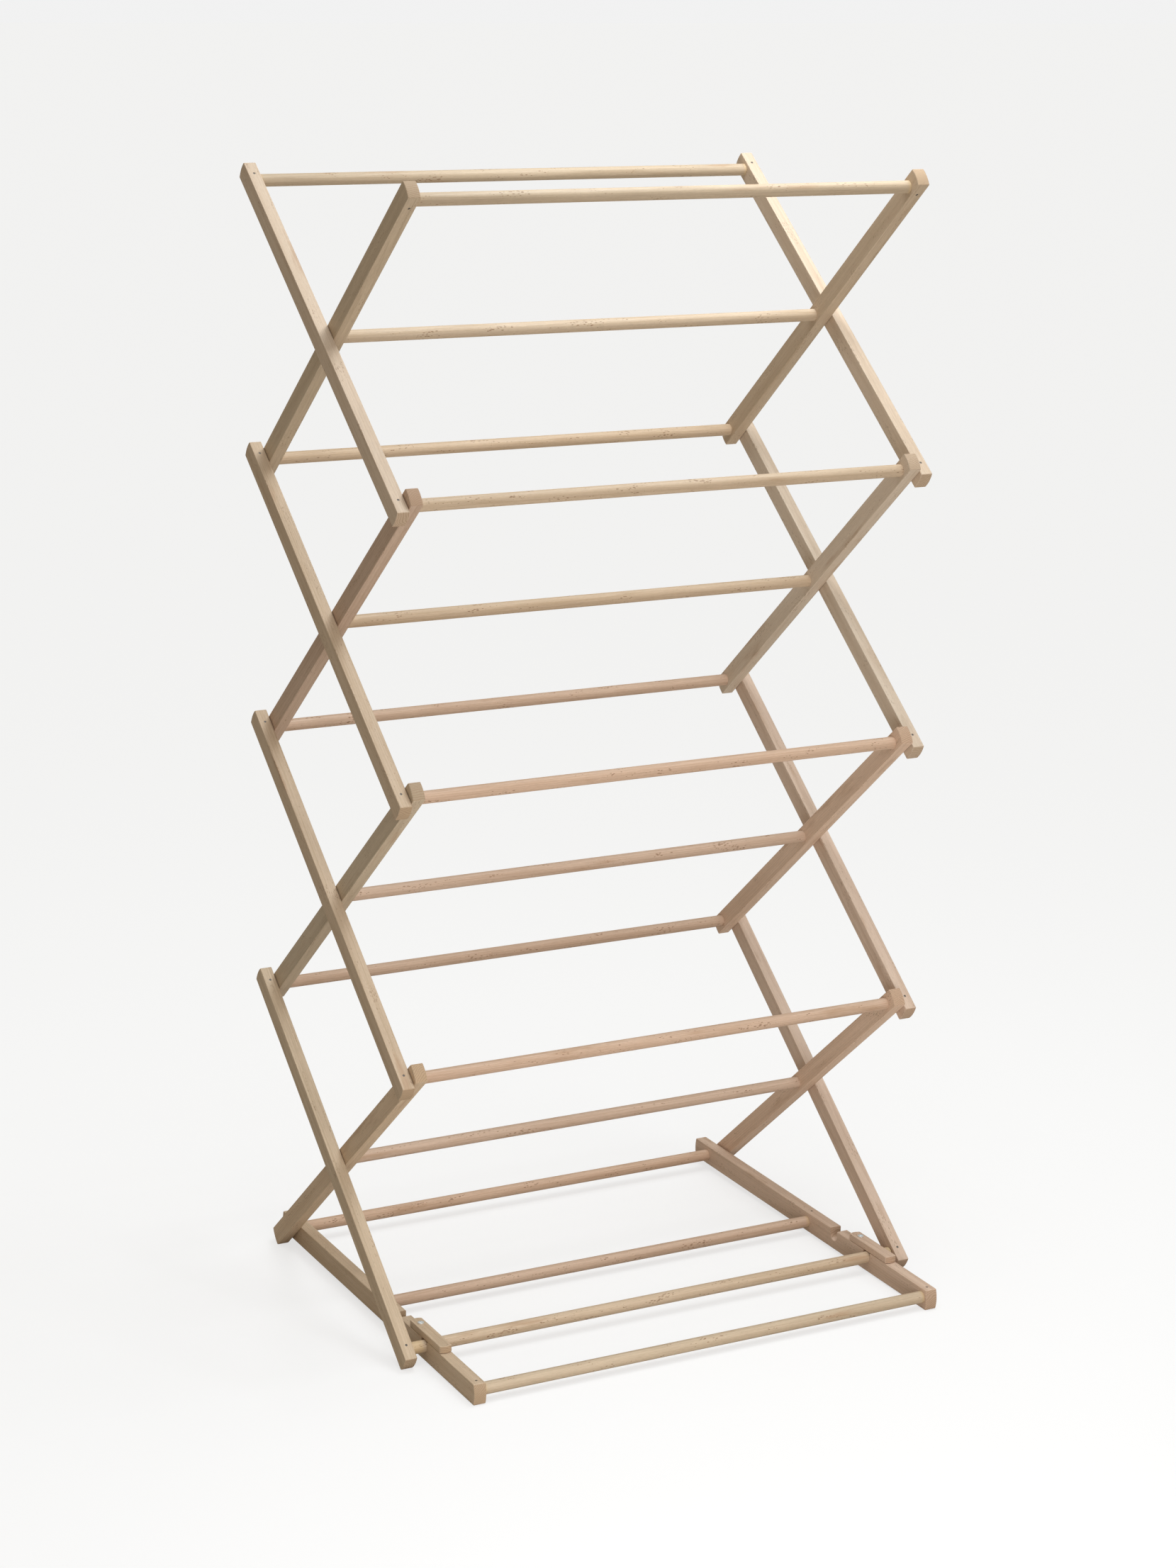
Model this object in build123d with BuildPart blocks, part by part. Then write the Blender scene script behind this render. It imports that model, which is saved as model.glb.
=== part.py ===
"""Concertina clothes drying rack in plain beech, standing open at its lower setting.

Four crossed-bar stages stack up from a base frame. On each side the bars lie in three
planes: outer bars outside, inner bars next to them, the base rails innermost. Round
dowels run across the width and are both the hanging rods and the hinge pins.

Frame: +Z up, X along the dowels, -Y is the front, where the locking dowel lies in its
notches. The origin is on the floor, below the middle of the rails.
"""
import os
from math import acos, asin, cos, degrees, sin, sqrt

from build123d import *

# ---------------------------------------------------------------- driving sizes, in mm
overall_width = 722.0        # outer face to outer face of the outer bars
stage_count = 4              # crossed-bar stages from the floor to the top
pivot_spacing = 550.0        # end pivot to end pivot along a bar
low_spacing = 428.0          # hinge dowel to locking notch, lower and wider setting
tall_spacing = 346.0         # hinge dowel to the second notch, taller setting

# bar stock; the rails are a little taller but just as thick
bar_width = 24.0             # wide face
bar_thickness = 16.0         # narrow face, along X
bar_end_margin = 21.5        # end pivot to the tip of the bar
end_arc_radius = 40.0        # shallow barrel curve of every bar end
corner_radius = 1.5          # where the end curve meets the bar's edges
edge_ease = 1.0              # sanded long edges
plane_gap = 0.7              # between the outer and the inner bars
rail_gap = 2.5               # between the inner bars and the rails

# dowels
dowel_diameter = 15.5
dowel_ease = 0.8             # chamfer on a dowel's ends
seat_depth = 12.0            # blind holes that take the dowels' ends
seat_end_gap = 0.3           # between a dowel's end and the bottom of its hole
seat_clearance = 0.05        # radial, dowel fixed in its bar
running_clearance = 0.08     # radial, bar turning on a dowel

# base rails, measured along the rail from the hinge dowel and down from the rail's top
rail_height = 27.0
rail_back_overhang = 34.0
rail_front_overhang = 12.0   # beyond the front dowel
brace_dowel_distance = 276.0
front_dowel_distance = 560.0
hinge_dowel_depth = 14.0
brace_dowel_depth = 14.0
front_dowel_depth = 12.0
locking_dowel_cover = 0.25   # wood line above the locking dowel's top
notch_play = 1.0             # notch width beyond the dowel's diameter
notch_floor_clearance = 0.05
stub_end_gap = 0.3           # locking dowel to the lowest outer bars' inner faces

# latches over the locking notches
latch_length = 93.0
latch_width = 16.0
latch_thickness = 9.0
latch_end_radius = 14.0
latch_pivot_inset = 17.0     # screw to the latch's rear tip
latch_screw_setback = 28.0   # screw behind the locking notch
latch_lift = 0.4             # latch's underside above the rail

# pan-head latch screws
screw_shank_diameter = 4.0
screw_length = 25.0          # under the head
screw_tip_length = 4.0
screw_head_diameter = 8.0
screw_head_height = 2.6
screw_head_clearance = 0.15  # head above the latch
screw_running_clearance = 0.1
screw_head_rim = 1.04        # straight part of the head, below its dome
screw_dome_bulge = 0.55
recess_width = 1.2
recess_span = 4.6
recess_depth = 1.4

# brads that pin the dowels through the bars' narrow faces
brad_diameter = 1.8
brad_length = 12.0           # head included
brad_head_diameter = 3.2
brad_head_height = 0.8
brad_recess = 0.3            # brad's head below the bar's face
brad_clearance = 0.05

# ---------------------------------------------------------------- worked-out sizes
dowel_radius = dowel_diameter / 2
half_spacing = pivot_spacing / 2
bar_length = pivot_spacing + 2 * bar_end_margin
bar_angle = acos(low_spacing / pivot_spacing)
tall_angle = acos(tall_spacing / pivot_spacing)
stage_height = pivot_spacing * sin(bar_angle)

# The rack stands on the lower corners of the lowest bars' four ends.
corner_along = bar_end_margin - end_arc_radius + sqrt(
    (end_arc_radius - corner_radius) ** 2 - (bar_width / 2 - corner_radius) ** 2
)
corner_across = bar_width / 2 - corner_radius
base_pivot_height = (
    corner_along * sin(bar_angle) + corner_across * cos(bar_angle) + corner_radius
)

# Heights of the dowels above the rails' undersides.
hinge_dowel_height = rail_height - hinge_dowel_depth
brace_dowel_height = rail_height - brace_dowel_depth
front_dowel_height = rail_height - front_dowel_depth
locking_dowel_height = rail_height - dowel_radius - locking_dowel_cover

# Planes of the bars, as distances from the middle of the rack to their inner faces.
outer_inner_face = overall_width / 2 - bar_thickness
inner_inner_face = outer_inner_face - plane_gap - bar_thickness
rail_inner_face = inner_inner_face - rail_gap - bar_thickness

# The rails slope a little: the locking dowel sits higher in them than the hinge dowel
# does, while both lie at the same height above the floor.
rail_slope = asin((locking_dowel_height - hinge_dowel_height) / low_spacing)
rail_length = rail_back_overhang + front_dowel_distance + rail_front_overhang
rail_middle = rail_length / 2 - rail_back_overhang
notch_width = dowel_diameter + notch_play
lock_along_rail = low_spacing * cos(rail_slope)
tall_along_rail = tall_spacing * cos(rail_slope)
screw_along_rail = lock_along_rail - latch_screw_setback

back_y = rail_middle * cos(rail_slope)
front_y = back_y - low_spacing
middle_y = (back_y + front_y) / 2

sides = {"left": -1, "right": 1}
outer_direction = (0, cos(bar_angle), sin(bar_angle))
inner_direction = (0, -cos(bar_angle), sin(bar_angle))

os.makedirs("parts", exist_ok=True)


# ---------------------------------------------------------------- shared helpers
def save(piece, name):
    """Label a finished piece and write it to its own file."""
    piece.label = name
    export_step(piece, f"parts/{name}.step")


def level(stage):
    """Height of the pivots above stage number `stage`; level 0 is the base."""
    return base_pivot_height + stage * stage_height


def bar_plane(x, stage, direction):
    """Plane across X through a bar's crossing, its x axis along the bar."""
    middle_z = level(stage) - stage_height / 2
    return Plane(origin=(x, middle_y, middle_z), x_dir=direction, z_dir=(1, 0, 0))


def rail_plane(x):
    """Plane across X at the hinge dowel, its x axis running back along the rail."""
    return Plane(
        origin=(x, back_y, base_pivot_height),
        x_dir=(0, cos(rail_slope), sin(rail_slope)),
        z_dir=(1, 0, 0),
    )


def rail_point(x, forward, height):
    """Point on a rail, `forward` of the hinge dowel and `height` above the underside."""
    return rail_plane(x).from_local_coords((-forward, height - hinge_dowel_height, 0))


def barrel_strip(length, width, arc_radius, rounding, middle=(0, 0)):
    """Long strip whose two ends are shallow outward curves."""
    tip = length / 2
    corner = tip - arc_radius + sqrt(arc_radius**2 - (width / 2) ** 2)
    with BuildSketch() as strip:
        with BuildLine():
            upper = Line((-corner, width / 2), (corner, width / 2))
            right_end = ThreePointArc(upper @ 1, (tip, 0), (corner, -width / 2))
            lower = Line(right_end @ 1, (-corner, -width / 2))
            ThreePointArc(lower @ 1, (-tip, 0), upper @ 0)
        make_face()
        fillet(strip.vertices(), rounding)
    return Pos(*middle) * strip.sketch


def ease_sides(part, axis, amount):
    """Round the rims of a flat stick's two wide faces."""
    rims = part.faces().sort_by(axis)
    fillet(rims[0].edges() + rims[-1].edges(), amount)


def bore(plane, radius, depth):
    """Cut a round hole of the current part, from `plane` along its normal."""
    with BuildSketch(plane) as mouth:
        Circle(radius)
    extrude(mouth.sketch, amount=depth, mode=Mode.SUBTRACT)


def shifted(plane, along, across=0.0):
    """The same plane with its origin moved along its own axes."""
    return Plane(
        origin=plane.from_local_coords((along, across, 0)), x_dir=plane.x_dir, z_dir=plane.z_dir
    )


def brad_plane(point, direction):
    """Plane on a bar's narrow face above a dowel's axis, looking into the wood."""
    face = Vector(*point) + Vector(*direction) * (bar_width / 2)
    return Plane(origin=face, z_dir=-Vector(*direction))


def brad_hole(point, direction):
    """Hole for one brad and its head, cut in whatever part is being built."""
    face = brad_plane(point, direction)
    bore(
        face,
        brad_diameter / 2 + brad_clearance,
        brad_recess + brad_length + brad_clearance,
    )
    bore(
        face,
        brad_head_diameter / 2 + brad_clearance,
        brad_recess + brad_head_height + brad_clearance,
    )


def make_brads(places, name):
    """All the brads of one body, as separate pins in one node."""
    with BuildPart() as brads:
        for point, direction in places:
            top = brad_plane(point, direction).offset(brad_recess)
            with BuildSketch(top):
                Circle(brad_head_diameter / 2)
            extrude(amount=brad_head_height)
            with BuildSketch(top):
                Circle(brad_diameter / 2)
            extrude(amount=brad_length)
    save(brads.part, name)


# ---------------------------------------------------------------- bars
def brad_x(inner_face, side):
    """Brads sit in the middle of the bar's thickness, or of its dowel seat."""
    return side * (inner_face + bar_thickness / 2)


def bar_normal(direction):
    """Unit vector across a bar, in its own plane."""
    return Vector(1, 0, 0).cross(Vector(*direction))


def brad_places(stage, direction, inner_face, ends):
    """Where the brads of a pair of bars go: `ends` maps a pivot to the face it enters."""
    places = []
    for side in sides.values():
        plane = bar_plane(brad_x(inner_face, side), stage, direction)
        for along, face in ends.items():
            point = plane.from_local_coords((along, 0, 0))
            places.append((point, bar_normal(direction) * face))
    return places


def make_bar(name, side, stage, direction, inner_face, seats, running_holes, brads):
    """One bar: blind seats open towards the middle of the rack, running holes go through."""
    with BuildPart() as bar:
        with BuildSketch(bar_plane(side * inner_face, stage, direction)):
            add(barrel_strip(bar_length, bar_width, end_arc_radius, corner_radius))
        extrude(amount=side * bar_thickness)
        ease_sides(bar, Axis.X, edge_ease)
        face = bar_plane(side * inner_face, stage, direction)
        for along in seats:
            bore(shifted(face, along), dowel_radius + seat_clearance, side * seat_depth)
        for along in running_holes:
            bore(shifted(face, along), dowel_radius + running_clearance, side * bar_thickness)
        for point, outward in brads:
            if point.X * side > 0:
                brad_hole(point, outward)
    save(bar.part, name)


# Outer bars: the end brads enter the upper narrow face, the crossing's brad the lower one.
outer_seats = (-half_spacing, 0.0, half_spacing)
outer_brad_faces = {-half_spacing: 1, 0.0: -1, half_spacing: 1}
outer_brads = {}
for stage in range(1, stage_count + 1):
    outer_brads[stage] = brad_places(stage, outer_direction, outer_inner_face, outer_brad_faces)
    for word, side in sides.items():
        make_bar(
            f"outer_bar_{word}_{stage}", side, stage, outer_direction, outer_inner_face,
            outer_seats, (), outer_brads[stage],
        )
    make_brads(outer_brads[stage], f"brads_outer_{stage}")

# Inner bars: only the hinge dowel and the top front dowel are fixed in them.
for stage in range(1, stage_count + 1):
    fixed = {}
    if stage == 1:
        fixed[-half_spacing] = -1
    if stage == stage_count:
        fixed[half_spacing] = 1
    running = [along for along in outer_seats if along not in fixed]
    inner_brads = brad_places(stage, inner_direction, inner_inner_face, fixed)
    for word, side in sides.items():
        make_bar(
            f"inner_bar_{word}_{stage}", side, stage, inner_direction, inner_inner_face,
            tuple(fixed), running, inner_brads,
        )
    if fixed:
        make_brads(inner_brads, f"brads_inner_{stage}")


# ---------------------------------------------------------------- dowels
def make_dowel(name, y, z, half_length, brads=()):
    """A dowel centred across the width, with holes for the brads that pin it."""
    with BuildPart() as dowel:
        with BuildSketch(Plane(origin=(-half_length, y, z), z_dir=(1, 0, 0))):
            Circle(dowel_radius)
        extrude(amount=2 * half_length)
        chamfer(dowel.edges().filter_by(GeomType.CIRCLE), dowel_ease)
        for point, outward in brads:
            brad_hole(point, outward)
    save(dowel.part, name)


def brads_at(brads, y, z):
    """Those brads of a body that enter the dowel at this place."""
    return [brad for brad in brads if abs(brad[0].Y - y) < 1 and abs(brad[0].Z - z) < 1]


outer_reach = outer_inner_face + seat_depth - seat_end_gap
inner_reach = inner_inner_face + seat_depth - seat_end_gap
rail_reach = rail_inner_face + seat_depth - seat_end_gap

for stage in range(1, stage_count + 1):
    pins = outer_brads[stage]
    top_z = level(stage)
    cross_z = top_z - stage_height / 2
    cross_pins = brads_at(pins, middle_y, cross_z)
    make_dowel(f"cross_dowel_{stage}", middle_y, cross_z, outer_reach, cross_pins)
    back_pins = brads_at(pins, back_y, top_z)
    make_dowel(f"back_dowel_{stage}", back_y, top_z, outer_reach, back_pins)
    if stage > 1:
        low_z = level(stage - 1)
        front_pins = brads_at(pins, front_y, low_z)
        make_dowel(f"front_dowel_{stage - 1}", front_y, low_z, outer_reach, front_pins)

top_brads = brad_places(stage_count, inner_direction, inner_inner_face, {half_spacing: 1})
make_dowel("top_front_dowel", front_y, level(stage_count), inner_reach, top_brads)
hinge_brads = brad_places(1, inner_direction, inner_inner_face, {-half_spacing: -1})
make_dowel("hinge_dowel", back_y, level(0), inner_reach, hinge_brads)

# The locking dowel lies in the rails' notches. It stops just short of the lowest outer
# bars, and its two ends stay in them, so that the bars can fold away from the notches.
make_dowel("locking_dowel", front_y, level(0), outer_inner_face - stub_end_gap)
with BuildPart() as dowel_ends:
    for side in sides.values():
        seat_mouth = (side * outer_inner_face, front_y, level(0))
        with BuildSketch(Plane(origin=seat_mouth, z_dir=(1, 0, 0))):
            Circle(dowel_radius)
        extrude(amount=side * (seat_depth - seat_end_gap))
    for point, outward in brads_at(outer_brads[1], front_y, level(0)):
        brad_hole(point, outward)
save(dowel_ends.part, "locking_dowel_ends")


# ---------------------------------------------------------------- base frame
def rail_brad_places():
    """Brads from the rails' top into the brace dowel and the base front dowel."""
    places = []
    up = rail_plane(0).y_dir
    for side in sides.values():
        x = brad_x(rail_inner_face, side)
        for forward in (brace_dowel_distance, front_dowel_distance):
            places.append((rail_point(x, forward, rail_height - bar_width / 2), up))
    return places


def cut_notch(x, forward):
    """Open-topped notch with a round floor, through the rail."""
    centre_height = (
        locking_dowel_height - notch_floor_clearance + (notch_width - dowel_diameter) / 2
    )
    base = rail_point(x, forward, centre_height)
    wall = rail_height
    with BuildSketch(Plane(origin=base, x_dir=rail_plane(0).x_dir, z_dir=(1, 0, 0))) as notch:
        Circle(notch_width / 2)
        with Locations((0, wall / 2)):
            Rectangle(notch_width, wall)
    extrude(notch.sketch, amount=bar_thickness, both=True, mode=Mode.SUBTRACT)


def screw_plane(side, height):
    """Plane square to the rail at the latch screw, `height` above the rail's underside."""
    x = side * (rail_inner_face + bar_thickness / 2)
    return Plane(
        origin=rail_point(x, screw_along_rail, height),
        x_dir=rail_plane(0).x_dir,
        z_dir=rail_plane(0).y_dir,
    )


def make_rail(name, side):
    """One base rail with its two notches, dowel holes and latch screw hole."""
    face = rail_plane(side * rail_inner_face)
    middle = (-rail_middle, rail_height / 2 - hinge_dowel_height)
    with BuildPart() as rail:
        with BuildSketch(face):
            add(barrel_strip(rail_length, rail_height, end_arc_radius, corner_radius, middle))
        extrude(amount=side * bar_thickness)
        ease_sides(rail, Axis.X, edge_ease)
        for forward in (lock_along_rail, tall_along_rail):
            cut_notch(side * (rail_inner_face + bar_thickness / 2), forward)
        bore(face, dowel_radius + running_clearance, side * bar_thickness)
        fixed = {
            brace_dowel_distance: brace_dowel_height,
            front_dowel_distance: front_dowel_height,
        }
        for forward, height in fixed.items():
            seat = shifted(face, -forward, height - hinge_dowel_height)
            bore(seat, dowel_radius + seat_clearance, side * seat_depth)
        for point, outward in rail_brad_places():
            if point.X * side > 0:
                brad_hole(point, outward)
        pilot = latch_thickness + latch_lift + screw_head_clearance
        bore(
            screw_plane(side, rail_height),
            screw_shank_diameter / 2 + brad_clearance,
            -(screw_length - pilot + brad_clearance),
        )
    save(rail.part, name)


def make_latch(name, side):
    """Flat stick that turns on its screw and covers the notch."""
    forward_shift = latch_length / 2 - latch_pivot_inset
    plane = screw_plane(side, rail_height + latch_lift)
    with BuildPart() as latch:
        with BuildSketch(plane):
            outline_middle = (-forward_shift, 0)
            add(barrel_strip(
                latch_length, latch_width, latch_end_radius, corner_radius, outline_middle
            ))
        extrude(amount=latch_thickness)
        ease_sides(latch, Axis.Z, edge_ease)
        bore(plane, screw_shank_diameter / 2 + screw_running_clearance, latch_thickness)
    save(latch.part, name)


def make_screw(name, side):
    """Pan-head wood screw with a cross recess, revolved about its own axis."""
    seat = rail_height + latch_lift + latch_thickness + screw_head_clearance
    axis_plane = screw_plane(side, seat)
    profile_plane = Plane(origin=axis_plane.origin, x_dir=axis_plane.x_dir, z_dir=(1, 0, 0))
    shank = screw_shank_diameter / 2
    head = screw_head_diameter / 2
    with BuildPart() as screw:
        with BuildSketch(profile_plane):
            with BuildLine():
                Polyline(
                    (0, screw_head_height),
                    (0, -screw_length),
                    (shank, screw_tip_length - screw_length),
                    (shank, 0),
                    (head, 0),
                    (head, screw_head_rim),
                )
                SagittaArc((head, screw_head_rim), (0, screw_head_height), screw_dome_bulge)
            make_face()
        revolve(axis=Axis(axis_plane.origin, axis_plane.z_dir))
        with BuildSketch(axis_plane.offset(screw_head_height)):
            Rectangle(recess_span, recess_width)
            Rectangle(recess_width, recess_span)
        extrude(amount=-recess_depth, mode=Mode.SUBTRACT)
    save(screw.part, name)


for word, side in sides.items():
    make_rail(f"rail_{word}", side)
    make_latch(f"latch_{word}", side)
    make_screw(f"latch_screw_{word}", side)
make_brads(rail_brad_places(), "brads_base")

for name, forward, height in (
    ("brace_dowel", brace_dowel_distance, brace_dowel_height),
    ("base_front_dowel", front_dowel_distance, front_dowel_height),
):
    centre = rail_point(0, forward, height)
    pins = [pin for pin in rail_brad_places() if abs(pin[0].Y - centre.Y) < 1]
    make_dowel(name, centre.Y, centre.Z, rail_reach, pins)

# Axis places and ranges that the joints use.
for stage in range(1, stage_count + 1):
    print(f"stage {stage}: crossing y {middle_y:.3f} z {level(stage) - stage_height / 2:.3f}")
for stage in range(stage_count + 1):
    print(f"level {stage}: back y {back_y:.3f} front y {front_y:.3f} z {level(stage):.3f}")
for word, side in sides.items():
    print(word, "latch pivot", screw_plane(side, rail_height).origin, screw_plane(side, 0).z_dir)
print(f"bar angle {degrees(bar_angle):.3f}, tall setting {degrees(tall_angle):.3f}")
print(f"rail slope {degrees(rail_slope):.3f}")
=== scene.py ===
"""Studio view of a folding beech clothes drying rack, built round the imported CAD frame.

Every visible piece is a CAD node. This script gives each one its own procedural wood or
metal, sets the floor, the lights and the camera.
"""
import random
from math import cos, radians, sin

import bpy
from mathutils import Matrix, Vector


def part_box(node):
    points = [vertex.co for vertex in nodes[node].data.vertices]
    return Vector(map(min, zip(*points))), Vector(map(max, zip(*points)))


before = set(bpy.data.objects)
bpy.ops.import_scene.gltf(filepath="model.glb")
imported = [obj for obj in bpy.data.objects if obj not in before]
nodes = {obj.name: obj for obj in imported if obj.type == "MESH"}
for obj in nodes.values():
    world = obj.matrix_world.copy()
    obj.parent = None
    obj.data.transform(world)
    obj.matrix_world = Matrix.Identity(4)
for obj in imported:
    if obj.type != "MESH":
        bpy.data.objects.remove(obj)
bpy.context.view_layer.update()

MM = 0.001
FULL_TURN = 6.283

# ---------------------------------------------------------------- sizes of the pieces
BAR_WIDTH = 24 * MM
RAIL_LEAN = 0.014            # rise of the base rails towards the back, per unit of length
DOWEL_SEAT = 11.7 * MM       # length of a dowel's end that is hidden in its bar
SEAT_SHADOW_LENGTH = 6 * MM          # painted shadow on a dowel next to its bar, measured out of the bar

# ---------------------------------------------------------------- wood tones, linear RGB
# Each tone is a light and a dark colour, which the grain mixes.
PALE = ((0.70, 0.575, 0.45), (0.59, 0.455, 0.33))
TAN = ((0.64, 0.50, 0.36), (0.51, 0.375, 0.245))
PINK = ((0.64, 0.465, 0.345), (0.50, 0.335, 0.23))
ROSE = ((0.70, 0.53, 0.41), (0.56, 0.395, 0.285))
GREY = ((0.60, 0.48, 0.345), (0.47, 0.36, 0.245))
FLECK = (0.23, 0.125, 0.062)
SMUDGE = (0.40, 0.235, 0.13)
END_GRAIN = (0.36, 0.24, 0.15)
# Yellow-brown painted shadow where a dowel enters its bar.
SEAT_SHADOW_COLOUR = (0.62, 0.45, 0.22)

# The tone of each kind of piece in the four stages, from the floor up. Redder wood low down is
# the wood's own tone. The brighter rose and pale tones on the right bars are painted light, and
# the greyer tones on the left bars are painted shade.
TONE_AND_SIDE_SHADE_BY_KIND = {
    "outer_bar_left": (GREY, TAN, TAN, PALE),
    "outer_bar_right": (ROSE, ROSE, PALE, PALE),
    "inner_bar_left": (TAN, GREY, PINK, GREY),
    "inner_bar_right": (ROSE, ROSE, PALE, TAN),
    "dowel": (PINK, PINK, TAN, TAN),
}
# These dowels take the darker grey tone as painted shade, which dims them where the light falls
# strongly.
SHADE_GREY_DOWELS = ("base_front_dowel", "top_front_dowel", "back_dowel_4")
TAN_DOWELS = ("locking_dowel", "locking_dowel_ends")

# ---------------------------------------------------------------- wood patterns
# Sizes in metres: first along the grain, then across it both ways.
WANDER_SIZE = (0.35, 0.02, 0.02)
BAND_SIZE = (0.30, 0.010, 0.010)
STREAK_SIZE = (0.055, 0.0011, 0.0011)
FIBRE_SIZE = (0.006, 0.00028, 0.00028)
PATCH_SIZE = (0.05, 0.009, 0.009)
DASH_SIZE = (0.0058, 0.0017, 0.0017)
SMUDGE_SIZE = (0.10, 0.016, 0.016)
PORE_SIZE = (0.0007, 0.0007, 0.0007)

PITH_DISTANCE = (0.018, 0.05)    # from the middle of the piece, in metres
PITH_SLANT = 0.012               # most that the rings run out along the piece
RING_WIDTH = (1.9, 3.0)          # in millimetres
RING_WANDER = 4.5                # how far noise moves the rings, in rings
NOISE_SHIFT = 90                 # pieces take their noise from places this far apart


# ---------------------------------------------------------------- node helpers
class Tree:
    """Short calls for building one material's node tree."""

    def __init__(self, name):
        self.material = bpy.data.materials.new(name)
        self.material.use_nodes = True
        self.nodes = self.material.node_tree.nodes
        self.links = self.material.node_tree.links
        self.shader = self.nodes["Principled BSDF"]

    def put(self, socket, value):
        """Link a node output, or write a plain value, into a socket."""
        if isinstance(value, bpy.types.NodeSocket):
            self.links.new(value, socket)
        else:
            socket.default_value = value

    def add(self, kind, **settings):
        node = self.nodes.new(kind)
        for key, value in settings.items():
            setattr(node, key, value)
        return node

    def math(self, operation, a, b=0.0, clamp=False):
        node = self.add("ShaderNodeMath", operation=operation, use_clamp=clamp)
        self.put(node.inputs[0], a)
        self.put(node.inputs[1], b)
        return node.outputs[0]

    def vector_math(self, operation, a, b=None):
        """The node itself, because some operations give a number and some a vector."""
        node = self.add("ShaderNodeVectorMath", operation=operation)
        self.put(node.inputs[0], a)
        if b is not None:
            self.put(node.inputs[1], b)
        return node

    def remap(self, value, low, high, to_low=0.0, to_high=1.0):
        """Smooth step from low..high to to_low..to_high."""
        node = self.add("ShaderNodeMapRange", interpolation_type="SMOOTHSTEP")
        for socket, number in zip(node.inputs, (value, low, high, to_low, to_high)):
            self.put(socket, number)
        return node.outputs[0]

    def stretch(self, vector, size, shift=(0.0, 0.0, 0.0)):
        """Coordinates divided by a size in metres along each axis, then shifted."""
        node = self.add("ShaderNodeMapping", vector_type="POINT")
        self.put(node.inputs["Vector"], vector)
        node.inputs["Scale"].default_value = [1.0 / part for part in size]
        node.inputs["Location"].default_value = shift
        return node.outputs[0]

    def scatter(self, vector, size, rng):
        """Stretched coordinates, shifted by one random draw."""
        return self.stretch(vector, size, [rng.uniform(0, NOISE_SHIFT)] * 3)

    def noise(self, vector, detail=2.0, roughness=0.5):
        node = self.add("ShaderNodeTexNoise")
        self.put(node.inputs["Vector"], vector)
        node.inputs["Scale"].default_value = 1.0
        node.inputs["Detail"].default_value = detail
        node.inputs["Roughness"].default_value = roughness
        return node.outputs["Fac"]

    def spots(self, vector):
        """Distance to the nearest scattered point."""
        node = self.add("ShaderNodeTexVoronoi", feature="F1")
        self.put(node.inputs["Vector"], vector)
        node.inputs["Scale"].default_value = 1.0
        return node.outputs["Distance"]

    def mix(self, factor, a, b, blend="MIX"):
        node = self.add("ShaderNodeMix", data_type="RGBA", blend_type=blend)
        self.put(node.inputs["Factor"], factor)
        for socket, value in zip(colour_sockets(node.inputs), (a, b)):
            self.put(socket, value if isinstance(value, bpy.types.NodeSocket) else (*value, 1.0))
        return colour_sockets(node.outputs)[0]


def colour_sockets(sockets):
    return [socket for socket in sockets if socket.type == "RGBA"]


# ---------------------------------------------------------------- beech
def grain_frame(along):
    """Rotation that turns the grain direction to X and the rack's width to Z."""
    x_axis = Vector(along).normalized()
    side = Vector((1, 0, 0)) if abs(x_axis.x) < 0.5 else Vector((0, 0, 1))
    y_axis = side.cross(x_axis).normalized()
    return Matrix((x_axis, y_axis, x_axis.cross(y_axis)))


def grain_coordinates(tree, along, centre):
    """Object coordinates moved to the piece's middle and turned to its grain."""
    coordinates = tree.add("ShaderNodeTexCoord")
    turned = tree.add("ShaderNodeMapping", vector_type="TEXTURE")
    tree.put(turned.inputs["Vector"], coordinates.outputs["Object"])
    turned.inputs["Location"].default_value = centre
    # TEXTURE mapping undoes its rotation, so it gets the inverse of the grain frame.
    inverse = grain_frame(along).transposed()
    turned.inputs["Rotation"].default_value = inverse.to_euler("XYZ")
    return turned.outputs[0], coordinates.outputs["Normal"]


def growth_rings(tree, grain, rng):
    """Late wood, from 0 to 1, of rings round a pith that lies outside the piece."""
    pith_turn = rng.uniform(0, FULL_TURN)
    pith = Vector((0, cos(pith_turn), sin(pith_turn))) * rng.uniform(*PITH_DISTANCE)
    wander = tree.noise(tree.scatter(grain, WANDER_SIZE, rng), 1.0)
    off = tree.vector_math("SUBTRACT", grain, pith).outputs[0]
    slant = rng.uniform(-PITH_SLANT, PITH_SLANT)
    flat = tree.vector_math("MULTIPLY", off, (slant, 1.0, 1.0)).outputs[0]
    radius = tree.vector_math("LENGTH", flat).outputs["Value"]
    turns = tree.math("DIVIDE", radius, rng.uniform(*RING_WIDTH) * MM)
    turns = tree.math("ADD", turns, tree.math("MULTIPLY", wander, RING_WANDER))
    return tree.remap(tree.math("FRACT", turns), 0.45, 0.98)


def long_grain(tree, late_wood, bands, streaks, fibres, tones):
    """Colour of the sanded sides: rings, broad bands, streaks and fine fibres."""
    tone = tree.math("MULTIPLY", late_wood, 0.34)
    tone = tree.math("ADD", tone, tree.remap(bands, 0.30, 0.72, -0.10, 0.42))
    tone = tree.math("ADD", tone, tree.remap(streaks, 0.32, 0.70, -0.12, 0.30), clamp=True)
    colour = tree.mix(tone, *tones)
    shade = tree.remap(fibres, 0.25, 0.75, 0.90, 1.07)
    grey = tree.add("ShaderNodeCombineColor")
    for socket in grey.inputs:
        tree.put(socket, shade)
    return tree.mix(1.0, colour, grey.outputs[0], "MULTIPLY")


def ray_flecks(tree, grain, strength, rng):
    """Short dark dashes along the grain, gathered in patches."""
    patches = tree.noise(tree.scatter(grain, PATCH_SIZE, rng), 2.0)
    dashes = tree.spots(tree.scatter(grain, DASH_SIZE, rng))
    reach = tree.remap(patches, 0.46, 0.70, 0.06, 0.42)
    inside = tree.math("SUBTRACT", reach, dashes)
    return tree.remap(inside, 0.0, 0.14, 0.0, 0.8 * strength)


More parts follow.
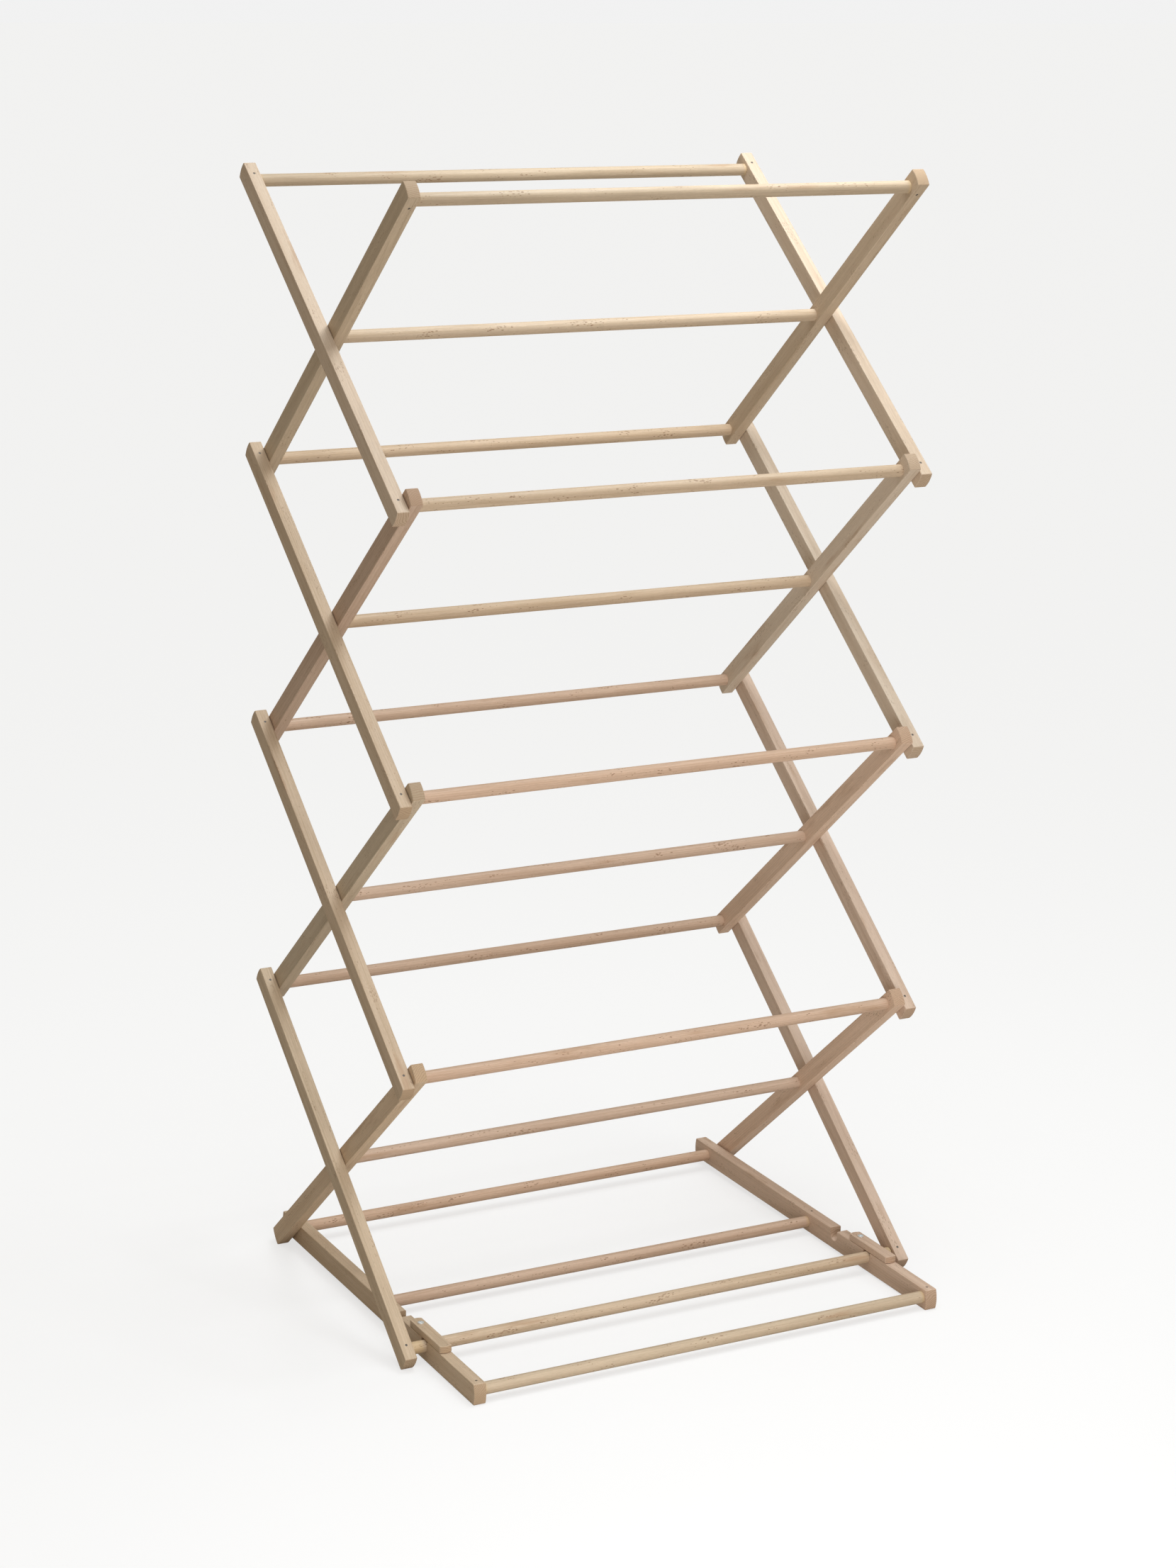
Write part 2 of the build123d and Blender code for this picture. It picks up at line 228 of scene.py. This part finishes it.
def seat_shadow_strength(tree, grain, reach):
    """Strength of the yellow-brown painted shadow at each end of a dowel, next to its bar."""
    parts = tree.add("ShaderNodeSeparateXYZ")
    tree.put(parts.inputs[0], grain)
    from_middle = tree.math("ABSOLUTE", parts.outputs[0])
    return tree.remap(from_middle, reach - SEAT_SHADOW_LENGTH, reach, 0.0, 0.45)


def end_grain(tree, grain, late_wood, dark):
    """Colour of the sawn ends: darker, with the rings and pores showing strongly."""
    pores = tree.noise(tree.stretch(grain, PORE_SIZE), 3.0, 0.7)
    tone = tree.math("MULTIPLY", late_wood, 0.55)
    tone = tree.math("ADD", tone, tree.remap(pores, 0.35, 0.65, 0.0, 0.45), clamp=True)
    return tree.mix(tone, dark, END_GRAIN)


def wood_bump(tree, fibres, streaks, fleck):
    """Fine relief of the fibres and streaks, with the flecks sunk a little."""
    height = tree.math("MULTIPLY", fibres, 0.5)
    height = tree.math("ADD", height, tree.math("MULTIPLY", streaks, 0.5))
    height = tree.math("SUBTRACT", height, tree.math("MULTIPLY", fleck, 0.6))
    bump = tree.add("ShaderNodeBump")
    bump.inputs["Strength"].default_value = 0.35
    bump.inputs["Distance"].default_value = 0.12 * MM
    tree.put(bump.inputs["Height"], height)
    return bump.outputs[0]


def beech(name, along, centre, tones, seed, fleck_strength, seat_shadow_reach):
    """Bare sanded beech. A dowel is given the reach from its middle to its bars, for the painted
    shadow at its ends.
    """
    rng = random.Random(seed)
    tree = Tree(name)
    grain, normal = grain_coordinates(tree, along, centre)

    late_wood = growth_rings(tree, grain, rng)
    bands = tree.noise(tree.scatter(grain, BAND_SIZE, rng), 3.0)
    streaks = tree.noise(tree.scatter(grain, STREAK_SIZE, rng), 4.0, 0.6)
    fibres = tree.noise(tree.scatter(grain, FIBRE_SIZE, rng), 2.0)
    colour = long_grain(tree, late_wood, bands, streaks, fibres, tones)

    fleck = ray_flecks(tree, grain, fleck_strength, rng)
    colour = tree.mix(fleck, colour, FLECK)

    # A knotty brown smudge here and there.
    smudge = tree.noise(tree.scatter(grain, SMUDGE_SIZE, rng), 4.0)
    colour = tree.mix(tree.remap(smudge, 0.60, 0.74, 0.0, 0.45), colour, SMUDGE)
    # Painted shadow on a dowel next to each bar that it enters.
    if seat_shadow_reach is not None:
        colour = tree.mix(seat_shadow_strength(tree, grain, seat_shadow_reach), colour, SEAT_SHADOW_COLOUR)

    facing = tree.vector_math("DOT_PRODUCT", normal, Vector(along).normalized())
    end = tree.remap(tree.math("ABSOLUTE", facing.outputs["Value"]), 0.55, 0.85)
    colour = tree.mix(end, colour, end_grain(tree, grain, late_wood, tones[1]))
    tree.put(tree.shader.inputs["Base Color"], colour)

    rough = tree.remap(streaks, 0.3, 0.7, 0.50, 0.66)
    rough = tree.math("ADD", rough, tree.math("MULTIPLY", end, 0.15))
    tree.put(tree.shader.inputs["Roughness"], rough)
    tree.shader.inputs["Specular IOR Level"].default_value = 0.38
    tree.put(tree.shader.inputs["Normal"], wood_bump(tree, fibres, streaks, fleck))
    return tree.material


# ---------------------------------------------------------------- metals
def metal(name, bright, dull, roughness, patch):
    """Small steel fastener with a slightly patchy surface."""
    tree = Tree(name)
    coordinates = tree.add("ShaderNodeTexCoord").outputs["Object"]
    cloud = tree.noise(tree.stretch(coordinates, (patch, patch, patch)), 3.0)
    colour = tree.mix(tree.remap(cloud, 0.3, 0.7), bright, dull)
    tree.put(tree.shader.inputs["Base Color"], colour)
    rough = tree.remap(cloud, 0.3, 0.7, roughness, roughness + 0.12)
    tree.put(tree.shader.inputs["Roughness"], rough)
    tree.shader.inputs["Metallic"].default_value = 0.8
    return tree.material


# ---------------------------------------------------------------- which wood goes where
def bar_direction(run, rise, lean):
    """Direction of a flat bar of known width whose box is run by rise."""
    slope = rise / run
    for _ in range(20):
        angle_cos = 1 / (1 + slope**2) ** 0.5
        angle_sin = slope * angle_cos
        slope = (rise - BAR_WIDTH * angle_cos) / (run - BAR_WIDTH * angle_sin)
    return (0.0, lean, slope)


def direction_of(name):
    """Grain direction of a wooden node, from its place at rest."""
    if "dowel" in name:
        return (1.0, 0.0, 0.0)
    low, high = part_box(name)
    rise = high[2] - low[2]
    run = high[1] - low[1]
    if name.startswith("outer_bar"):
        return bar_direction(run, rise, 1)
    if name.startswith("inner_bar"):
        return bar_direction(run, rise, -1)
    return (0.0, 1.0, RAIL_LEAN)


def tone_and_side_shade_of(name, order):
    """Redder wood low down and paler wood at the top. The brighter rose tones on the right are
    painted light, and the greyer tones on the left are painted shade.
    """
    stage = int(name[-1]) if name[-1].isdigit() else 1
    kind = "dowel" if "dowel" in name else name.rsplit("_", 1)[0]
    if kind not in TONE_AND_SIDE_SHADE_BY_KIND:
        return ROSE if name.endswith("right") else TAN
    # Painted shade: the darker grey tone for these dowels.
    if name in SHADE_GREY_DOWELS:
        return GREY
    if name in TAN_DOWELS:
        return TAN
    rng = random.Random(order * 7 + 3)
    shift = rng.uniform(0.93, 1.05)
    warm = rng.uniform(0.97, 1.03)
    # The left and right tones carry painted light and shade, and a random shift on top.
    return tuple(
        (red * shift * warm, green * shift, blue * shift / warm)
        for red, green, blue in TONE_AND_SIDE_SHADE_BY_KIND[kind][stage - 1]
    )


def wood_of(name, order):
    """One piece's own beech. Dowels have more flecks than bars, and painted shadow at the ends
    next to the bars.
    """
    low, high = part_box(name)
    centre = tuple((a + b) / 2 for a, b in zip(low, high))
    is_dowel = "dowel" in name
    return beech(
        f"beech_{name}",
        direction_of(name),
        centre,
        tone_and_side_shade_of(name, order),
        seed=100 + order,
        fleck_strength=1.0 if is_dowel else 0.55,
        seat_shadow_reach=high[0] - centre[0] - DOWEL_SEAT if is_dowel else None,
    )


def dress_pieces():
    screw_metal = metal("bright_zinc", (0.97, 0.99, 1.0), (0.70, 0.82, 0.90), 0.42, 1.2 * MM)
    brad_metal = metal("dull_steel", (0.22, 0.20, 0.18), (0.12, 0.105, 0.09), 0.55, 0.6 * MM)
    for order, name in enumerate(sorted(nodes)):
        if "screw" in name:
            material = screw_metal
        elif "brads" in name:
            material = brad_metal
        else:
            material = wood_of(name, order)
        for slot in nodes[name].material_slots:
            slot.material = material


# ---------------------------------------------------------------- floor and world
def plain_floor():
    """Pale studio floor. It looks white to the camera and throws little light back."""
    bpy.ops.mesh.primitive_plane_add(size=400.0, location=(0, 0, 0))
    floor = bpy.context.object
    floor.name = "studio_floor"
    tree = Tree("pale_paper")
    seen = tree.add("ShaderNodeLightPath").outputs["Is Camera Ray"]
    paper = tree.mix(seen, (0.52, 0.50, 0.46), (0.31, 0.31, 0.31))
    tree.put(tree.shader.inputs["Base Color"], paper)
    tree.shader.inputs["Roughness"].default_value = 1.0
    tree.shader.inputs["Specular IOR Level"].default_value = 0.0
    tree.shader.inputs["Emission Color"].default_value = (1.0, 1.0, 1.0, 1.0)
    tree.put(tree.shader.inputs["Emission Strength"], tree.math("MULTIPLY", seen, 0.68))
    floor.data.materials.append(tree.material)


def soft_world():
    """Dim even surroundings, shown pale behind the floor."""
    world = bpy.data.worlds.new("studio")
    bpy.context.scene.world = world
    world.use_nodes = True
    world_nodes = world.node_tree.nodes
    links = world.node_tree.links
    path = world_nodes.new("ShaderNodeLightPath")
    mix = world_nodes.new("ShaderNodeMix")
    mix.data_type = "RGBA"
    surroundings, backdrop = colour_sockets(mix.inputs)
    surroundings.default_value = (0.30, 0.25, 0.19, 1.0)
    backdrop.default_value = (0.885, 0.885, 0.885, 1.0)
    links.new(path.outputs["Is Camera Ray"], mix.inputs["Factor"])
    links.new(colour_sockets(mix.outputs)[0], world_nodes["Background"].inputs["Color"])


# ---------------------------------------------------------------- lights
def aimed(name, lamp, place, direction):
    """Put a lamp into the scene, shining along a direction."""
    holder = bpy.data.objects.new(name, lamp)
    bpy.context.scene.collection.objects.link(holder)
    holder.location = place
    holder.rotation_euler = direction.to_track_quat("-Z", "Y").to_euler()
    return holder


def area_light(name, place, target, size, power, colour=(1.0, 1.0, 1.0)):
    lamp = bpy.data.lights.new(name, "AREA")
    lamp.shape = "SQUARE"
    lamp.size = size
    lamp.energy = power
    lamp.color = colour
    aimed(name, lamp, place, Vector(target) - Vector(place)).visible_camera = False


def soft_sun(name, source, strength, spread, colour):
    """Wide even light that comes from the source direction."""
    lamp = bpy.data.lights.new(name, "SUN")
    lamp.energy = strength
    lamp.angle = radians(spread)
    lamp.color = colour
    aimed(name, lamp, (0, 0, 0), -Vector(source))


def studio_lights():
    soft_sun("overhead_softbox", (0.15, -0.15, 1.0), 1.42, 70, (0.83, 0.93, 1.0))
    area_light(
        "top_light", (0.30, -0.20, 2.20), (0.24, 0.0, 0.6), 0.6, 11.0, (0.95, 0.98, 1.0)
    )
    area_light(
        "side_fill", (-0.34, -1.6, 0.25), (0.36, 0.0, 0.6), 0.9, 14.0, (1.0, 0.97, 0.97)
    )
    area_light("front_fill", (0.9, -4.2, 1.1), (0.0, 0.0, 0.6), 1.8, 6.0)


# ---------------------------------------------------------------- camera
CAMERA_PLACE = (-1.8169, -3.4832, 1.6224)
AZIMUTH = radians(-27.26)
ELEVATION = radians(13.784)
ROLL = radians(0.272)
FOCAL_LENGTH = 73.48         # in millimetres, like the sensor's long side
SENSOR_LENGTH = 36.0


def place_camera():
    back = Vector(
        (sin(AZIMUTH) * cos(ELEVATION), -cos(AZIMUTH) * cos(ELEVATION), sin(ELEVATION))
    )
    right = Vector((0, 0, 1)).cross(back).normalized()
    up = back.cross(right)
    rolled_right = right * cos(ROLL) + up * sin(ROLL)
    rolled_up = up * cos(ROLL) - right * sin(ROLL)

    camera_data = bpy.data.cameras.new("camera")
    camera_data.lens = FOCAL_LENGTH
    camera_data.sensor_width = SENSOR_LENGTH
    camera = bpy.data.objects.new("camera", camera_data)
    bpy.context.scene.collection.objects.link(camera)
    turn = Matrix((rolled_right, rolled_up, back)).transposed().to_4x4()
    camera.matrix_world = Matrix.Translation(CAMERA_PLACE) @ turn
    bpy.context.scene.camera = camera
    bpy.context.scene.view_settings.view_transform = "Standard"


dress_pieces()
plain_floor()
soft_world()
studio_lights()
place_camera()
